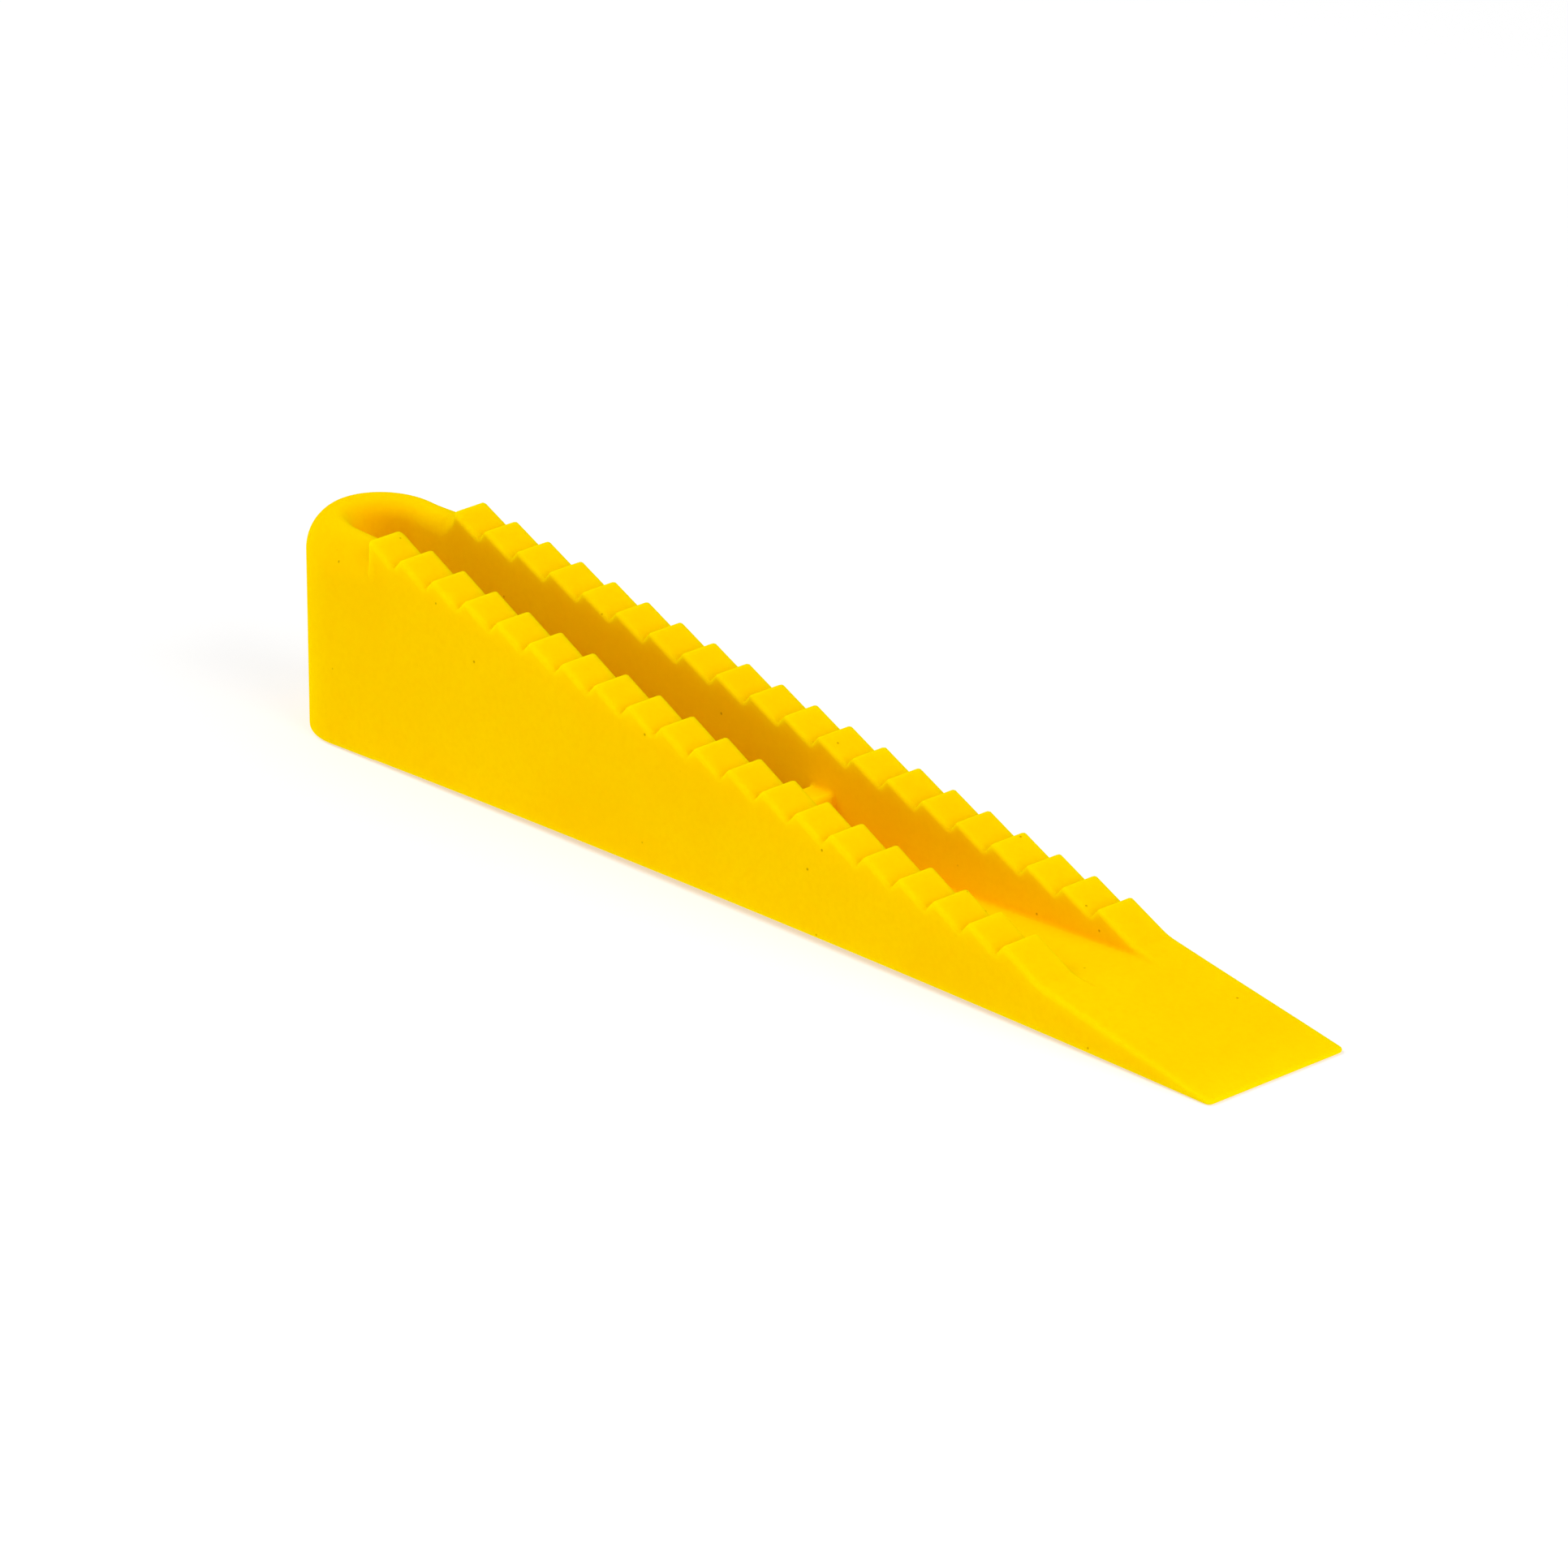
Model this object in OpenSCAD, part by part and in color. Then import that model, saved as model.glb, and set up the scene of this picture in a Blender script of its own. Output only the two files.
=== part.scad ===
// Serrated wedge, moulded in one piece: a tall rounded heel, two side walls with rows of
// ratchet teeth, a slot between them with one cross rib, and a thin plain toe.
// +X runs towards the toe, +Z is up, and the origin is the middle of the flat base.

/* [Body] */
// Overall length from heel to toe
body_len = 95; // [93:0.5:105]
// Width across the base
base_w = 12.3; // [11.5:0.1:14]
// Inward lean of the outside of each side wall, in degrees
wall_lean = 2.8; // [0:0.1:3]
// Thickness of the toe at its front edge
toe_t = 0.3; // [0.2:0.05:0.6]
// Slope of the plain toe face, in degrees
toe_angle = 11.3; // [11:0.1:11.5]

/* [Heel rim] */
// Height at which the sloping rim plane meets the back of the heel
rim_h = 16.4; // [15.8:0.1:17]
// Slope of the smooth rim, in degrees
rim_angle = 4.4; // [3:0.1:7]
// Radius that rounds the outer edge of the rim
rim_r = 3.2; // [1:0.1:3.4]

/* [Teeth] */
// Number of teeth on each side wall
teeth = 20; // [16:1:20]
// Distance from one crest to the next
pitch = 3.41; // [3:0.01:3.5]
// Distance from the back of the heel to the first crest
first_crest_x = 10.4; // [9.5:0.1:11]
// Height of the first crest above the base
first_crest_h = 16.3; // [16.1:0.1:17]
// Slope of the line through the crests, in degrees
crest_angle = 9.6; // [9.3:0.05:9.7]
// Slope of the long face of a tooth, in degrees
face_angle = 27.3; // [24:0.1:29]
// Horizontal run of the steep back of a tooth
back_run = 0.75; // [0.3:0.05:0.9]

/* [Slot] */
// Thickness of a side wall along the slot floor
wall_t = 3.4; // [2.8:0.05:3.6]
// Inward lean of the slot's side faces, in degrees
slot_lean = 2; // [0:0.1:2.5]
// Thickness of the wall round the heel
heel_t = 3.4; // [3:0.1:4]
// Height of the slot floor above the base, as far as the rib
floor_h = 2.1; // [1.5:0.1:3]
// Rise of the slot floor in front of the rib, in degrees
floor_rise = 2; // [0:0.1:3]
// Distance from the back of the heel to the rib
rib_x = 47; // [40:0.5:55]
// Thickness of the rib along the length
rib_t = 2.3; // [1.5:0.1:3]
// Height of the rib above the base
rib_h = 6.2; // [4:0.1:7]

/* [Hidden] */
$fn = 96;
heel_x = -body_len / 2;
toe_x = body_len / 2;
heel_r = base_w / 2;
heel_centre_x = heel_x + heel_r;
slot_w = base_w - 2 * wall_t;
tall = 1.5 * first_crest_h;
margin = 1;

first_x = heel_x + first_crest_x;
crest_fall = pitch * tan(crest_angle);
face_fall = (pitch - back_run) * tan(face_angle);

// The last face runs on until it meets the toe face.
last_x = first_x + (teeth - 1) * pitch;
last_h = first_crest_h - (teeth - 1) * crest_fall;
last_above_toe = last_h - toe_height(last_x);
last_run = last_above_toe / (tan(face_angle) - tan(toe_angle));

function toe_height(x) = toe_t + (toe_x - x) * tan(toe_angle);
function crest_x(i) = first_x + i * pitch;
function crest_h(i) = first_crest_h - i * crest_fall;

// Draws a side view, X across and Z up, and gives it a width along Y.
module across(width) {
    rotate([90, 0, 0])
        linear_extrude(height = width, center = true)
            children();
}

// Draws a cross-section, Y across and Z up, and gives it a length from the heel forwards.
module along(from_x, to_x) {
    translate([from_x, 0, 0])
        rotate([90, 0, 90])
            linear_extrude(height = to_x - from_x)
                children();
}

// A trapezium with walls that lean inwards as they rise, by the given angle.
module leaning_section(width, height, angle) {
    lean = height * tan(angle);
    polygon([
        [-width / 2, 0],
        [width / 2, 0],
        [width / 2 - lean, height],
        [-width / 2 + lean, height]
    ]);
}

// A plan shape with one round end, at centre_x, that runs on to the toe.
module round_ended(centre_x, radius, end_x, height) {
    translate([centre_x, 0, 0])
        cylinder(h = height, r = radius);
    translate([centre_x, -radius, 0])
        cube([end_x - centre_x, 2 * radius, height]);
}

// The side view: sloping rim, a step up to the teeth, then the plain toe.
module side_profile() {
    rim_end_h = rim_h - first_crest_x * tan(rim_angle);
    polygon(concat(
        [[heel_x, 0], [heel_x, rim_h], [first_x, rim_end_h]],
        [for (i = [0 : teeth - 2]) each [
            [crest_x(i), crest_h(i)],
            [crest_x(i + 1) - back_run, crest_h(i) - face_fall]
        ]],
        [
            [last_x, last_h],
            [last_x + last_run, toe_height(last_x + last_run)],
            [toe_x, toe_t],
            [toe_x, 0]
        ]
    ));
}

// What is cut off the outer edge of the rim: the corner outside a quarter circle.
module rim_corner() {
    difference() {
        translate([heel_r - rim_r, -rim_r])
            square([rim_r + margin, rim_r + margin]);
        translate([heel_r - rim_r, -rim_r])
            circle(r = rim_r);
    }
}

// Rounds the rim of the heel, in the rim's own sloping plane.
module rim_rounding() {
    straight = first_crest_x - heel_r;
    translate([heel_x, 0, rim_h])
        rotate([0, rim_angle, 0])
            translate([heel_r, 0, 0]) {
                rotate([0, 0, 90])
                    rotate_extrude(angle = 180)
                        rim_corner();
                for (side = [0, 1])
                    mirror([0, side, 0])
                        rotate([90, 0, 90])
                            linear_extrude(height = straight)
                                rim_corner();
            }
}

// The solid wedge, before the slot is cut.
module outer_body() {
    difference() {
        intersection() {
            across(2 * base_w)
                side_profile();
            round_ended(heel_centre_x, heel_r, toe_x, tall);
            along(heel_x, toe_x)
                leaning_section(base_w, tall, wall_lean);
        }
        rim_rounding();
    }
}

// The side view of the slot: level as far as the rib, then rising to meet the toe face.
module slot_profile() {
    rise_x = heel_x + rib_x + rib_t;
    polygon([
        [heel_x, floor_h],
        [rise_x, floor_h],
        [toe_x, floor_h + (toe_x - rise_x) * tan(floor_rise)],
        [toe_x, tall],
        [heel_x, tall]
    ]);
}

// The slot between the side walls, from the heel wall to where its floor meets the toe face.
module slot() {
    intersection() {
        across(base_w)
            slot_profile();
        round_ended(heel_x + heel_t + slot_w / 2, slot_w / 2, toe_x, tall);
        translate([0, 0, floor_h])
            along(heel_x, toe_x)
                leaning_section(slot_w, tall, slot_lean);
    }
}

// The rib that ties the two walls together across the slot.
module rib() {
    translate([heel_x + rib_x, 0, 0])
        along(0, rib_t)
            leaning_section(slot_w + wall_t, rib_h, slot_lean);
}

module wedge() {
    color("gold")
        union() {
            difference() {
                outer_body();
                slot();
            }
            rib();
        }
}

wedge();
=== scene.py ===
"""The looks of the serrated wedge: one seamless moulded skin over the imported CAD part, on a pale floor.

The skin is the zero level of a distance field in millimetres, written in the CAD frame: +X runs towards
the toe, +Z is up, and the origin is the middle of the flat base. The wedge is the same on both sides, so
the field takes the distance from the middle plane, across, in place of Y.
"""

import math

import bpy
import numpy as np
from mathutils import Matrix, Vector


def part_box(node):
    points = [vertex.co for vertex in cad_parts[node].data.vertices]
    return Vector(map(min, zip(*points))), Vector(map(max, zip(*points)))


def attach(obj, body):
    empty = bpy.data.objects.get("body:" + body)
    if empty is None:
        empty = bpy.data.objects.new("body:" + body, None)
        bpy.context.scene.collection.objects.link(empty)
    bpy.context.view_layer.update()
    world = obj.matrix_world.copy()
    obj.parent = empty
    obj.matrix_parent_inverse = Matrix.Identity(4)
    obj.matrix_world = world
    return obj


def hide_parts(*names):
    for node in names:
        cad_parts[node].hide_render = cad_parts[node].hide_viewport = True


MM = 0.001
FAR = 1e3
TINY = 1e-6

# Side walls and heel. The rim's outer round shrinks from RIM_ROUND to RIM_END_ROUND at the first tooth.
WALL_LEAN = math.tan(math.radians(2.8))
SLOT_LEAN = math.tan(math.radians(2.0))
RIM_HEIGHT = 16.4
RIM_SLOPE = math.tan(math.radians(4.4))
RIM_ROUND = 3.2
RIM_END_ROUND = 2.6
RIM_MOUTH_ROUND = 1.8
BASE_ROUND = 0.3
BASE_BOW = 0.5

# Teeth
TEETH = 20
PITCH = 3.41
FIRST_CREST_FROM_HEEL = 10.4
CREST_SLOPE = math.tan(math.radians(9.6))
FACE_SLOPE = math.tan(math.radians(27.3))
BACK_RUN = 0.75
CREST_ROUND = 0.19
ROOT_ROUND = 0.1
TOOTH_SIDE_ROUND = 0.35
TOOTH_INNER_ROUND = 0.3
STEP_ROUND = 0.4
STEP_DEPTH = 0.5

# Toe
TOE_THICKNESS = 0.3
TOE_FROM_LAST_CREST = 0.3
TOE_SLOPE = math.tan(math.radians(11.3))
TOE_CORNER_ROUND = 0.5
TOE_SIDE_ROUND = 0.2
TOE_SIDE_FROM_LAST_CREST = 5.0
TOE_JOIN_ROUND = 0.04

# Slot and rib. The round of the slot's mouth changes from the rim's to the teeth's between two places.
MOUTH_FADES_BEHIND_CREST = 1.5
MOUTH_FADED_PAST_CREST = 0.5
WALL_THICKNESS = 3.4
HEEL_WALL = 3.4
FLOOR_HEIGHT = 2.1
FLOOR_RISE = math.tan(math.radians(2.0))
FLOOR_ROUND = 0.25
RIB_FROM_HEEL = 47.0
RIB_THICKNESS = 2.3
RIB_HEIGHT = 6.2
RIB_ROUND = 0.3

# The net that the skin is drawn on
NET_STEP = 0.125
NET_MARGIN = 3
SKIN_TRIANGLES = 180000
SLOPE_STEP = 2e-3
SETTLE_ROUNDS = 4
LEAST_STEEP = 0.25

# Plastic. Scales are in cells per metre, and each range is the part of a noise that is stretched.
MOTTLE_SCALE = 90
MOTTLE_RANGE = (0.35, 0.65)
DEEP_TONE = (0.92, 0.555, 0.0)
PALE_TONE = (0.95, 0.59, 0.0)
GRAIN_SCALE = 2200
GRAIN_RANGE = (0.4, 0.7)
GRAIN_AMOUNT = 0.25
GRAIN_TONE = (0.87, 0.51, 0.0)
SPECK_SCALE = 370
SPECK_RADIUS = 0.13
SPECK_TONE = (0.58, 0.31, 0.0)
ROUGHNESS_SCALE = 400
ROUGHNESS_NOISE_RANGE = (0.3, 0.7)
ROUGHNESS_RANGE = (0.36, 0.46)
BUMP_SCALE = 3000
BUMP_STRENGTH = 0.35
BUMP_DEPTH = 3e-5
SUBSURFACE_WEIGHT = 0.8
SUBSURFACE_RADIUS = (1.0, 0.9, 0.1)
SUBSURFACE_SCALE = 0.002

# Floor and light. The floor glows faintly, which keeps it white beside the wedge.
FLOOR_HALF = 3.0
FLOOR_COLOUR = (0.58, 0.58, 0.58, 1)
FLOOR_ROUGHNESS = 0.9
WHITE = (1, 1, 1, 1)
SKY_STRENGTH = 0.41
FLOOR_GLOW = 0.44
KEY_PLACE = (-0.42, -0.42, 0.8)
KEY_POWER = 6.0
FILL_PLACE = (0.9, 0.0, 0.45)
FILL_POWER = 5.9
LIGHT_SIZE = 0.8

# Camera, placed as the photograph was taken
CAMERA_AZIMUTH = math.radians(49.08)
CAMERA_ELEVATION = math.radians(22.31)
CAMERA_ROLL = math.radians(-2.0)
CAMERA_DISTANCE = 0.8
CAMERA_TURNS_ABOUT = Vector((-0.0002, 0.0, 0.008))
CAMERA_AIM = Vector((0.00000, -0.00025, 0.00722))
LENS_MM = 272.8
SENSOR_MM = 36.0
CLIP_START = 0.01


def rounded_and(a, b, radius):
    """Distance to what two shapes share, with the outer edge between them rounded."""
    corner = np.hypot(np.maximum(a + radius, 0), np.maximum(b + radius, 0))
    return np.minimum(np.maximum(a, b), -radius) + corner


def rounded_or(a, b, radius):
    """Distance to two shapes joined, with the inner edge between them filled."""
    corner = np.hypot(np.maximum(radius - a, 0), np.maximum(radius - b, 0))
    return np.maximum(np.minimum(a, b), radius) - corner


def blend(x, start, end):
    """Rises smoothly from 0 at start to 1 at end."""
    t = np.clip((x - start) / (end - start), 0, 1)
    return t * t * (3 - 2 * t)


def slope_length(slope):
    return math.hypot(1, slope)


def round_ended_wall(x, across, height, centre_x, half_width, lean):
    """Distance to an upright wall with a half-round end at the heel, which leans in as it rises."""
    shrink = 1 - lean * height / half_width
    back = np.minimum(x - centre_x, 0)
    return (np.hypot(back, across / shrink) - half_width) * shrink


class Wedge:
    """The wedge's distance field, sized by the CAD part's box."""

    def __init__(self, low, high):
        self.half_len = (high.x - low.x) / 2 / MM
        self.half_width = (high.y - low.y) / 2 / MM
        self.height = (high.z - low.z) / MM
        self.first_x = FIRST_CREST_FROM_HEEL - self.half_len
        self.last_x = self.first_x + (TEETH - 1) * PITCH

    def rim(self, x, z):
        top = RIM_HEIGHT - RIM_SLOPE * (x + self.half_len)
        return (z - top) / slope_length(RIM_SLOPE)

    def tooth(self, x, z, number):
        """One tooth: below its long face and in front of its steep back. The first back is upright."""
        crest_fall = PITCH * CREST_SLOPE
        ahead = x - self.first_x - number * PITCH
        above = z - self.height + number * crest_fall
        back_slope = ((PITCH - BACK_RUN) * FACE_SLOPE - crest_fall) / BACK_RUN
        face = (above + FACE_SLOPE * ahead) / slope_length(FACE_SLOPE)
        back = (above - back_slope * ahead) / slope_length(back_slope)
        back = np.where(number > 0, back, -ahead)
        solid = rounded_and(face, back, CREST_ROUND)
        return np.where((number >= 0) & (number < TEETH), solid, FAR)

    def toothed_top(self, x, z):
        """Everything below the teeth and the plain toe face."""
        reach = (PITCH - BACK_RUN) / 2
        number = np.clip(np.floor((x - self.first_x - reach) / PITCH) + 1, 0, TEETH - 1)
        top = rounded_or(self.tooth(x, z, number - 1), self.tooth(x, z, number), ROOT_ROUND)
        top = rounded_or(top, self.tooth(x, z, number + 1), ROOT_ROUND)
        toe = z - TOE_THICKNESS - (self.half_len - x) * TOE_SLOPE
        toe = np.maximum(toe / slope_length(TOE_SLOPE), self.last_x + TOE_FROM_LAST_CREST - x)
        return rounded_or(top, toe, TOE_JOIN_ROUND)

    def slot(self, x, across, z):
        """The space between the side walls, on both sides of the rib."""
        half = self.half_width - WALL_THICKNESS
        centre_x = -self.half_len + HEEL_WALL + half
        wall = round_ended_wall(x, across, z - FLOOR_HEIGHT, centre_x, half, SLOT_LEAN)
        rib_back = RIB_FROM_HEEL - self.half_len
        floor = FLOOR_HEIGHT + FLOOR_RISE * np.maximum(x - rib_back - RIB_THICKNESS, 0)
        space = rounded_and(wall, floor - z, FLOOR_ROUND)
        rib = np.maximum(rib_back - x, x - rib_back - RIB_THICKNESS)
        rib = rounded_and(rib, z - RIB_HEIGHT, RIB_ROUND)
        return rounded_and(space, -rib, FLOOR_ROUND)

    def distance(self, x, across, z):
        """Distance to the moulded skin, negative inside the plastic. The base bows up in the middle."""
        heel_centre = self.half_width - self.half_len
        side = round_ended_wall(x, across, z, heel_centre, self.half_width, WALL_LEAN)
        side = rounded_and(side, x - self.half_len, TOE_CORNER_ROUND)
        rim = self.rim(x, z)
        rim_round = RIM_ROUND + (RIM_END_ROUND - RIM_ROUND) * blend(x, heel_centre, self.first_x)
        heel = np.maximum(rounded_and(side, rim, rim_round), x - self.first_x - STEP_DEPTH)
        side_round = TOOTH_SIDE_ROUND + (TOE_SIDE_ROUND - TOOTH_SIDE_ROUND) * blend(
            x, self.last_x + TOE_SIDE_FROM_LAST_CREST, self.half_len
        )
        teeth = rounded_and(side, self.toothed_top(x, z), side_round)
        step_round = TINY + STEP_ROUND * blend(rim, -RIM_END_ROUND, -RIM_END_ROUND / 2)
        body = rounded_or(heel, teeth, step_round)
        mouth_round = RIM_MOUTH_ROUND + (TOOTH_INNER_ROUND - RIM_MOUTH_ROUND) * blend(
            x, self.first_x - MOUTH_FADES_BEHIND_CREST, self.first_x + MOUTH_FADED_PAST_CREST
        )
        body = rounded_and(body, -self.slot(x, across, z), mouth_round)
        bow = BASE_BOW * (1 - (x / self.half_len) ** 2)
        return rounded_and(body, bow - z, BASE_ROUND)


def gradient(shape, points):
    """Slope of the field at each point, in X, Y and Z."""
    slopes = np.empty_like(points)
    for axis in range(3):
        ends = []
        for sign in (1, -1):
            moved = points.copy()
            moved[:, axis] += sign * SLOPE_STEP
            ends.append(shape.distance(moved[:, 0], np.abs(moved[:, 1]), moved[:, 2]))
        slopes[:, axis] = (ends[0] - ends[1]) / (2 * SLOPE_STEP)
    return slopes


def settle(shape, points):
    """Moves points onto the skin."""
    for _ in range(SETTLE_ROUNDS):
        slopes = gradient(shape, points)
        far = shape.distance(points[:, 0], np.abs(points[:, 1]), points[:, 2])
        steep = np.maximum((slopes**2).sum(1), LEAST_STEEP)
        move = slopes * (far / steep)[:, None]
        size = np.linalg.norm(move, axis=1, keepdims=True)
        points = points - move * np.minimum(1, NET_STEP / np.maximum(size, TINY))
    return points


def sample(shape):
    """The field on a grid over the whole wedge, and the grid's first corner."""
    half = np.array([shape.half_len, shape.half_width])
    counts = np.ceil(half / NET_STEP).astype(int) + NET_MARGIN
    x = (np.arange(-counts[0], counts[0] + 1) + 0.5) * NET_STEP
    across = (np.arange(counts[1]) + 0.5) * NET_STEP
    z = (np.arange(-NET_MARGIN, math.ceil(shape.height / NET_STEP) + NET_MARGIN) + 0.5) * NET_STEP
    one_side = shape.distance(x[:, None, None], across[None, :, None], z[None, None, :])
    field = np.concatenate([one_side[:, ::-1], one_side], axis=1)
    return field, np.array([x[0], -across[-1], z[0]])


def surface_net(field, corner):
    """Vertices and quads of a net round the field's zero level, one vertex in each crossed cell."""
    inside = field < 0
    units = np.eye(3, dtype=int)
    rings, crossings = [], []
    for axis in range(3):
        b, c = units[(axis + 1) % 3], units[(axis + 2) % 3]
        start = [slice(None)] * 3
        stop = [slice(None)] * 3
        start[axis], stop[axis] = slice(None, -1), slice(1, None)
        at = np.argwhere(inside[tuple(start)] != inside[tuple(stop)])
        near = field[tuple(at.T)]
        far = field[tuple((at + units[axis]).T)]
        crossing = at + (near / (near - far))[:, None] * units[axis]
        ring = np.stack([at - b - c, at - c, at, at - b], axis=1)
        ring[near > 0] = ring[near > 0][:, ::-1]
        rings.append(ring)
        crossings.append(np.repeat(crossing[:, None], 4, axis=1))
    rings, crossings = np.concatenate(rings), np.concatenate(crossings).reshape(-1, 3)
    keys = np.ravel_multi_index(rings.reshape(-1, 3).T, field.shape)
    used, vertex = np.unique(keys, return_inverse=True)
    shares = np.bincount(vertex, minlength=len(used))
    middle = [np.bincount(vertex, crossings[:, axis]) / shares for axis in range(3)]
    return corner + np.stack(middle, axis=1) * NET_STEP, vertex.reshape(-1, 4)


def mesh_from(name, points, faces):
    mesh = bpy.data.meshes.new(name)
    mesh.vertices.add(len(points))
    mesh.vertices.foreach_set("co", (points * MM).astype(np.float32).ravel())
    mesh.loops.add(faces.size)
    mesh.loops.foreach_set("vertex_index", faces.astype(np.int32).ravel())
    mesh.polygons.add(len(faces))
    mesh.polygons.foreach_set("loop_start", np.arange(0, faces.size, faces.shape[1], dtype=np.int32))
    mesh.update(calc_edges=True)
    return mesh


def thin_out(piece, triangles):
    """Merges triangles where the skin is flat, down to about the given number."""
    modifier = piece.modifiers.new("thin_out", "DECIMATE")
    modifier.ratio = triangles / (2 * len(piece.data.polygons))
    modifier.use_collapse_triangulate = True
    graph = bpy.context.evaluated_depsgraph_get()
    thinned = bpy.data.meshes.new_from_object(piece.evaluated_get(graph))
    piece.modifiers.clear()
    piece.data = thinned


def read_points(mesh):
    flat = np.empty(len(mesh.vertices) * 3, dtype=np.float32)
    mesh.vertices.foreach_get("co", flat)
    return flat.reshape(-1, 3).astype(float) / MM


def build_skin(shape):
    """The whole wedge as one closed mesh, smooth over its rounded edges."""
    field, corner = sample(shape)
    points, quads = surface_net(field, corner)
    piece = bpy.data.objects.new("wedge_skin", mesh_from("wedge_skin", settle(shape, points), quads))
    bpy.context.scene.collection.objects.link(piece)
    thin_out(piece, SKIN_TRIANGLES)
    points = settle(shape, read_points(piece.data))
    piece.data.vertices.foreach_set("co", (points * MM).astype(np.float32).ravel())
    piece.data.shade_smooth()
    piece.data.update()
    slopes = gradient(shape, points)
    normals = slopes / np.linalg.norm(slopes, axis=1, keepdims=True)
    piece.data.normals_split_custom_set_from_vertices(normals.tolist())
    return piece


def yellow_plastic():
    """Matt yellow plastic with a little depth, faint flow mottling, fine grain and a few specks."""
    material = bpy.data.materials.new("yellow_plastic")
    material.use_nodes = True
    nodes, links = material.node_tree.nodes, material.node_tree.links
    shader = nodes["Principled BSDF"]
    place = nodes.new("ShaderNodeTexCoord").outputs["Object"]

    def noise(scale, detail):
        node = nodes.new("ShaderNodeTexNoise")
        node.inputs["Scale"].default_value = scale
        node.inputs["Detail"].default_value = detail
        links.new(place, node.inputs["Vector"])
        return node.outputs["Fac"]

    def spread(value, source, target):
        node = nodes.new("ShaderNodeMapRange")
        node.inputs["From Min"].default_value = source[0]
        node.inputs["From Max"].default_value = source[1]
        node.inputs["To Min"].default_value = target[0]
        node.inputs["To Max"].default_value = target[1]
        links.new(value, node.inputs["Value"])
        return node.outputs["Result"]

    def mixed(factor, a, b):
        node = nodes.new("ShaderNodeMix")
        node.data_type = "RGBA"
        links.new(factor, node.inputs["Factor"])
        for socket, value in ((node.inputs["A"], a), (node.inputs["B"], b)):
            if isinstance(value, tuple):
                socket.default_value = (*value, 1)
            else:
                links.new(value, socket)
        return node.outputs["Result"]

    def specks():
        node = nodes.new("ShaderNodeTexVoronoi")
        node.inputs["Scale"].default_value = SPECK_SCALE
        links.new(place, node.inputs["Vector"])
        radius = SPECK_RADIUS * MM * SPECK_SCALE
        return spread(node.outputs["Distance"], (radius / 2, radius), (1, 0))

    mottle = spread(noise(MOTTLE_SCALE, 3), MOTTLE_RANGE, (0, 1))
    tone = mixed(mottle, DEEP_TONE, PALE_TONE)
    grain = spread(noise(GRAIN_SCALE, 2), GRAIN_RANGE, (0, GRAIN_AMOUNT))
    tone = mixed(grain, tone, GRAIN_TONE)
    tone = mixed(specks(), tone, SPECK_TONE)
    links.new(tone, shader.inputs["Base Color"])
    roughness = spread(noise(ROUGHNESS_SCALE, 4), ROUGHNESS_NOISE_RANGE, ROUGHNESS_RANGE)
    links.new(roughness, shader.inputs["Roughness"])
    bump = nodes.new("ShaderNodeBump")
    bump.inputs["Strength"].default_value = BUMP_STRENGTH
    bump.inputs["Distance"].default_value = BUMP_DEPTH
    links.new(noise(BUMP_SCALE, 3), bump.inputs["Height"])
    links.new(bump.outputs["Normal"], shader.inputs["Normal"])
    shader.inputs["Specular IOR Level"].default_value = 0.0
    shader.inputs["Subsurface Weight"].default_value = SUBSURFACE_WEIGHT
    shader.inputs["Subsurface Radius"].default_value = SUBSURFACE_RADIUS
    shader.inputs["Subsurface Scale"].default_value = SUBSURFACE_SCALE
    return material


def build_floor():
    mesh = bpy.data.meshes.new("floor")
    corners = [
        (-FLOOR_HALF, -FLOOR_HALF, 0),
        (FLOOR_HALF, -FLOOR_HALF, 0),
        (FLOOR_HALF, FLOOR_HALF, 0),
        (-FLOOR_HALF, FLOOR_HALF, 0),
    ]
    mesh.from_pydata(corners, [], [(0, 1, 2, 3)])
    floor = bpy.data.objects.new("floor", mesh)
    bpy.context.scene.collection.objects.link(floor)
    material = bpy.data.materials.new("floor_white")
    material.use_nodes = True
    shader = material.node_tree.nodes["Principled BSDF"]
    shader.inputs["Base Color"].default_value = FLOOR_COLOUR
    shader.inputs["Emission Color"].default_value = WHITE
    shader.inputs["Emission Strength"].default_value = FLOOR_GLOW
    shader.inputs["Roughness"].default_value = FLOOR_ROUGHNESS
    shader.inputs["Specular IOR Level"].default_value = 0.0
    mesh.materials.append(material)


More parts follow.
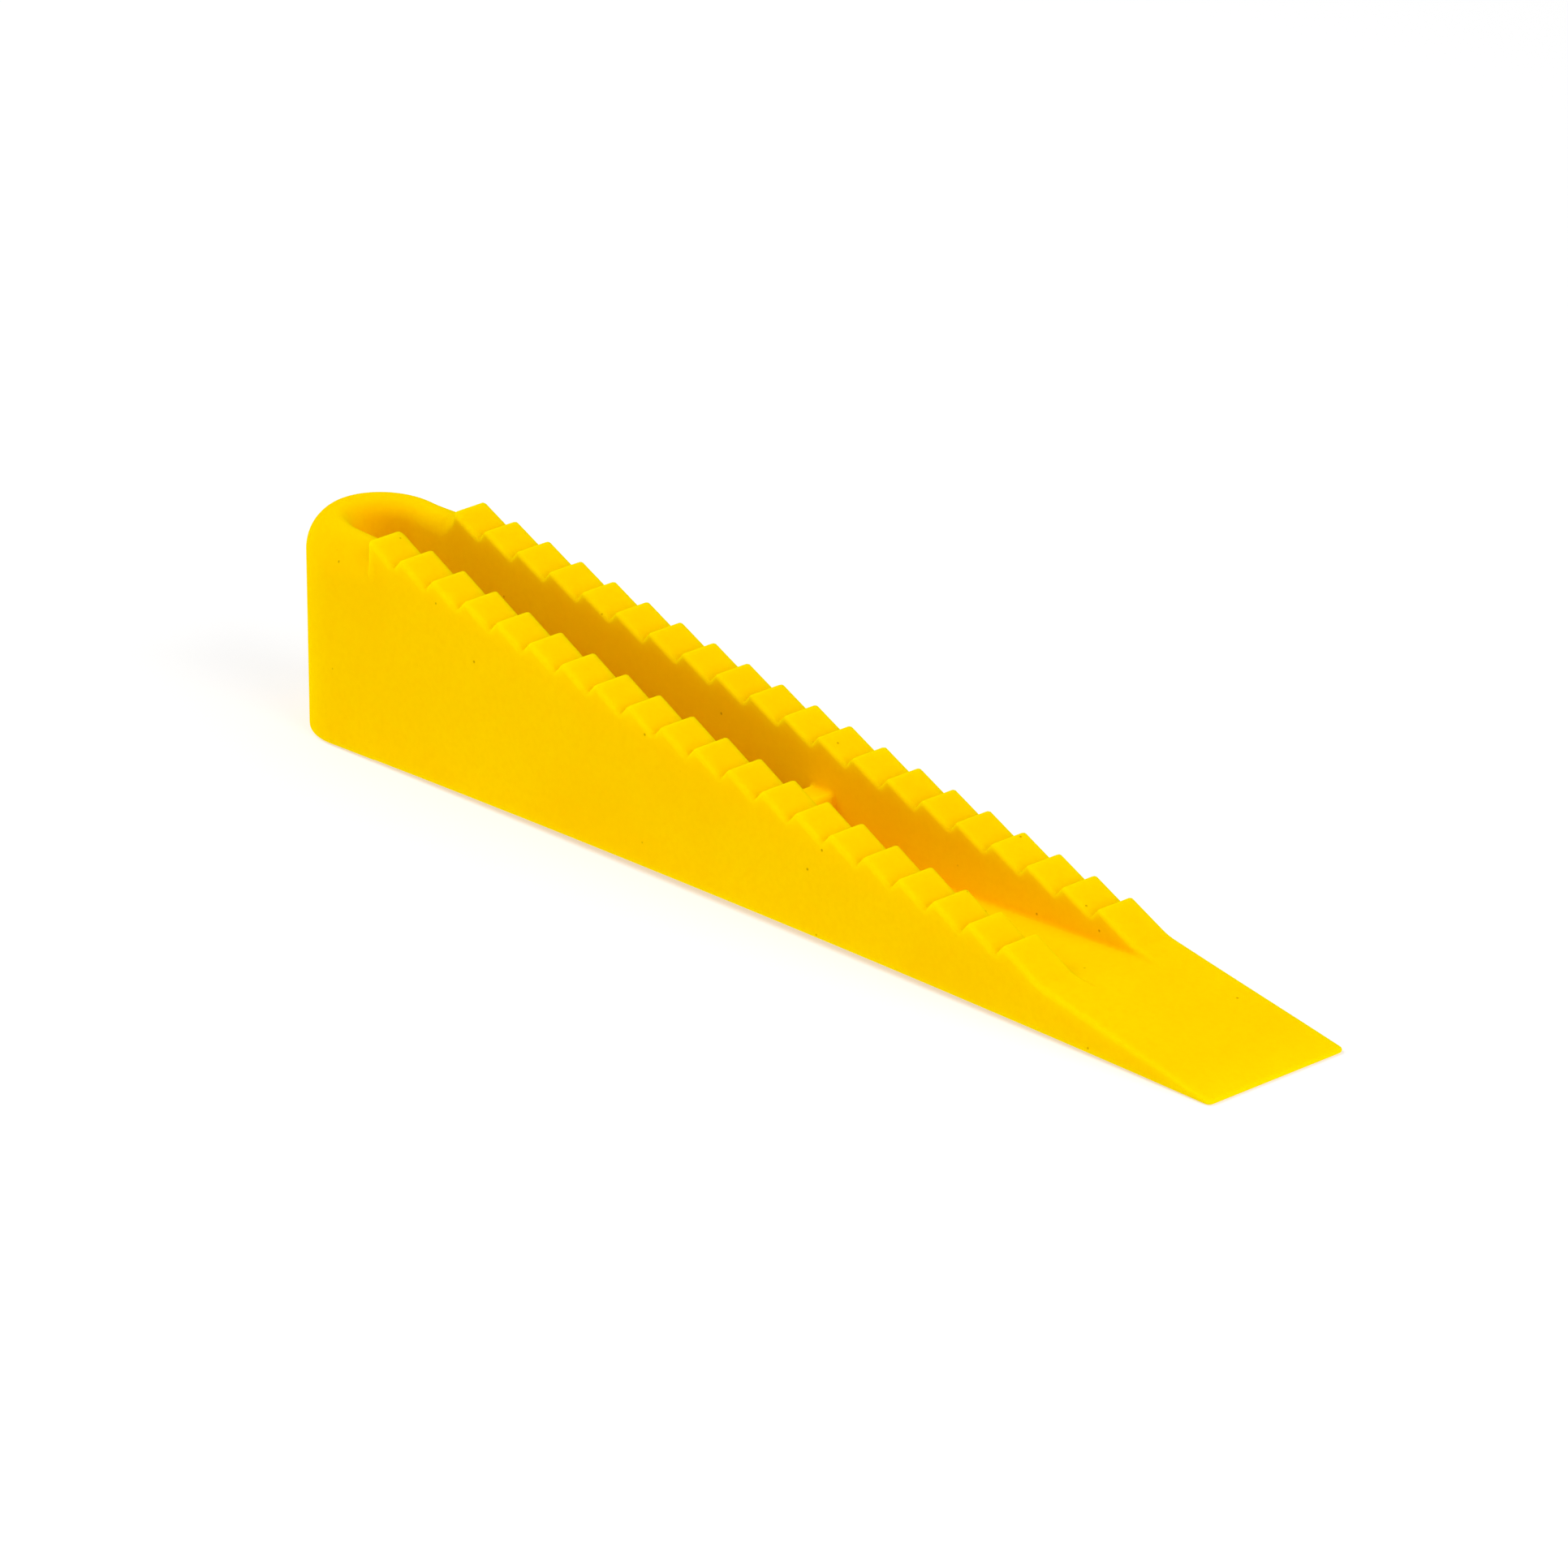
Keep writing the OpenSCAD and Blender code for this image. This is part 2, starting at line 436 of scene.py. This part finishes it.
def soft_light(name, place, power):
    """A round soft box that faces the wedge."""
    data = bpy.data.lights.new(name, "AREA")
    data.shape = "DISK"
    data.size = LIGHT_SIZE
    data.energy = power
    light = bpy.data.objects.new(name, data)
    light.location = place
    light.rotation_euler = (-Vector(place)).to_track_quat("-Z", "Y").to_euler()
    bpy.context.scene.collection.objects.link(light)


def build_light():
    world = bpy.data.worlds.new("studio")
    world.use_nodes = True
    background = world.node_tree.nodes["Background"]
    background.inputs["Color"].default_value = WHITE
    background.inputs["Strength"].default_value = SKY_STRENGTH
    bpy.context.scene.world = world
    soft_light("key", KEY_PLACE, KEY_POWER)
    soft_light("fill", FILL_PLACE, FILL_POWER)


def build_camera():
    toward = Vector(
        (
            math.sin(CAMERA_AZIMUTH) * math.cos(CAMERA_ELEVATION),
            -math.cos(CAMERA_AZIMUTH) * math.cos(CAMERA_ELEVATION),
            math.sin(CAMERA_ELEVATION),
        )
    )
    place = CAMERA_TURNS_ABOUT + CAMERA_DISTANCE * toward
    facing = (CAMERA_AIM - place).to_track_quat("-Z", "Y").to_matrix()
    turned = facing @ Matrix.Rotation(CAMERA_ROLL, 3, "Z")
    data = bpy.data.cameras.new("camera")
    data.lens = LENS_MM
    data.sensor_width = SENSOR_MM
    data.clip_start = CLIP_START
    camera = bpy.data.objects.new("camera", data)
    camera.matrix_world = Matrix.Translation(place) @ turned.to_4x4()
    bpy.context.scene.collection.objects.link(camera)
    bpy.context.scene.camera = camera


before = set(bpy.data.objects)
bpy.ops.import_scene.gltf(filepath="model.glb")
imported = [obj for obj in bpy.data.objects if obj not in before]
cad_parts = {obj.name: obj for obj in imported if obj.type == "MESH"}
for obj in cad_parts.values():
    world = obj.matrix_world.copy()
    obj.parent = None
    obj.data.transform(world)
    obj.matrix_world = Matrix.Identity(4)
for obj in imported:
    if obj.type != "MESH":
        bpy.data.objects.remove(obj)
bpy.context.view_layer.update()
bpy.context.scene.view_settings.view_transform = "Standard"

skin = build_skin(Wedge(*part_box("wedge")))
skin.data.materials.append(yellow_plastic())
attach(skin, "root")
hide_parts("wedge")
build_floor()
build_light()
build_camera()
